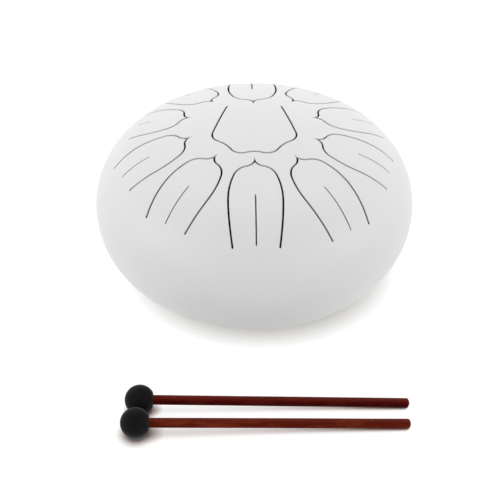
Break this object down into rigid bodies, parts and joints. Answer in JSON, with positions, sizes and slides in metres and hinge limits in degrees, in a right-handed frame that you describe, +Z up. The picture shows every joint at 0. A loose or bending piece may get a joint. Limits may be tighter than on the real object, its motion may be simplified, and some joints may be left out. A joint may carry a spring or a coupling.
{
  "type": "steel tongue drum",
  "caption": "Steel tongue drum: two domed shells welded at the rim, lotus-shaped tongues cut in the top, a sound hole and rubber feet below, and a pair of rubber-headed mallets.",
  "frame": {"origin": "centre of the whole set on the floor, midway from the drum's back rim to the front mallet head", "axes": "+Z up along the drum's axis, +Y from the player and the mallets to the back of the drum, +X to the player's right"},
  "size_m": [0.254, 0.3178, 0.15],
  "materials": {
    "shell_lacquer": "satin white baked lacquer",
    "foot_rubber": "matte black",
    "fastener_steel": "bright zinc plated",
    "stick_maroon": "lacquered deep maroon",
    "stick_brown": "lacquered orange brown",
    "head_rubber": "matte black"
  },
  "bodies": {
    "drum": {"upper_shell": "shell_lacquer", "lower_shell": "shell_lacquer", "seam_weld": "shell_lacquer", "foot_back": "foot_rubber", "foot_left": "foot_rubber", "foot_right": "foot_rubber", "foot_screws": "fastener_steel", "sole_washers": "fastener_steel", "shell_washers": "fastener_steel", "foot_nuts": "fastener_steel"},
    "mallet_back": {"stick_back": "stick_maroon", "head_back": "head_rubber"},
    "mallet_front": {"stick_front": "stick_brown", "head_front": "head_rubber"}
  },
  "joints": [
    {"name": "mallet_back_lift", "type": "slide", "parent": "drum", "child": "mallet_back", "axis": [0, 0, 1], "range_m": [0, 0.2]},
    {"name": "mallet_front_lift", "type": "slide", "parent": "drum", "child": "mallet_front", "axis": [0, 0, 1], "range_m": [0, 0.2]}
  ]
}
